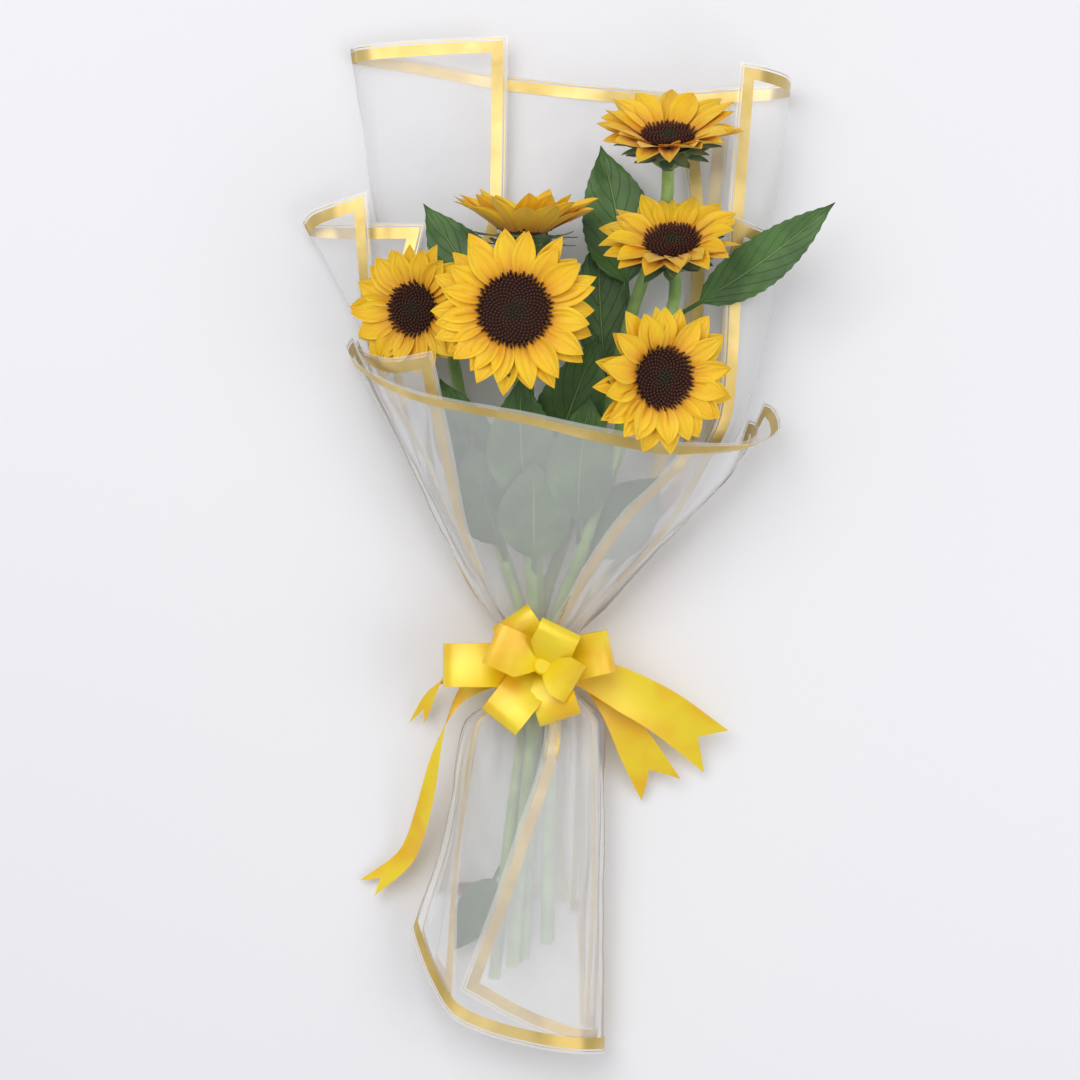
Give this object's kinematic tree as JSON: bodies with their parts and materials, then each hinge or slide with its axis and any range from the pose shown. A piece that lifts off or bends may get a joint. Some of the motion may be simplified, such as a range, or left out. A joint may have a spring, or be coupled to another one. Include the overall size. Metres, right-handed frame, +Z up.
{
  "type": "bunch of sunflowers",
  "caption": "Cut sunflowers with leaves in a frosted film wrap with gold edges, gathered at the stems with a satin bow, lying on its back.",
  "frame": {"origin": "on the surface that the bunch lies on, below the middle of its outline", "axes": "+Y from the cut stems to the flower heads, +Z up from the surface, +X to the right of someone who looks down on the bunch with the heads at the top"},
  "size_m": [0.3799, 0.738, 0.1645],
  "materials": {
    "film": "frosted translucent film with gold edges",
    "disc": "dark brown florets, matt",
    "petal": "yellow petal, satin",
    "calyx": "hairy green bracts, matt",
    "stem": "ribbed green stem, matt",
    "leaf": "veined green leaf, semi-matt",
    "twine": "natural twine",
    "satin": "yellow satin ribbon"
  },
  "bodies": {
    "root": {"film_back_sheet": "film", "film_left_flap_sheet": "film", "film_left_inner_sheet": "film", "film_right_tall_sheet": "film", "film_right_short_sheet": "film", "film_right_inner_sheet": "film", "film_front_sheet": "film", "flower_front_disc": "disc", "flower_front_petals": "petal", "flower_front_calyx": "calyx", "flower_front_stem": "stem", "flower_left_disc": "disc", "flower_left_petals": "petal", "flower_left_calyx": "calyx", "flower_left_stem": "stem", "flower_back_disc": "disc", "flower_back_petals": "petal", "flower_back_calyx": "calyx", "flower_back_stem": "stem", "flower_top_disc": "disc", "flower_top_petals": "petal", "flower_top_calyx": "calyx", "flower_top_stem": "stem", "flower_right_disc": "disc", "flower_right_petals": "petal", "flower_right_calyx": "calyx", "flower_right_stem": "stem", "flower_low_disc": "disc", "flower_low_petals": "petal", "flower_low_calyx": "calyx", "flower_low_stem": "stem", "leaf_far_right": "leaf", "leaf_behind_left": "leaf", "leaf_upper_middle": "leaf", "leaf_middle": "leaf", "leaf_under_front": "leaf", "leaf_low_left": "leaf", "leaf_low_middle": "leaf", "leaf_low_right": "leaf", "leaf_wrap_left": "leaf", "leaf_wrap_right": "leaf", "leaf_wrap_middle": "leaf", "leaf_foot": "leaf", "stem_tie": "twine", "ribbon_band": "satin", "bow_knot": "satin", "bow_loop_right": "satin", "bow_loop_upper_left": "satin", "bow_loop_left": "satin", "bow_loop_lower_left": "satin", "bow_loop_lower_right": "satin", "bow_loop_upper_right": "satin", "bow_loop_middle_left": "satin", "bow_loop_small_right": "satin", "ribbon_tail_right_upper": "satin", "ribbon_tail_right_lower": "satin", "ribbon_tail_left_long": "satin", "ribbon_tail_left_short": "satin"}
  },
  "joints": []
}
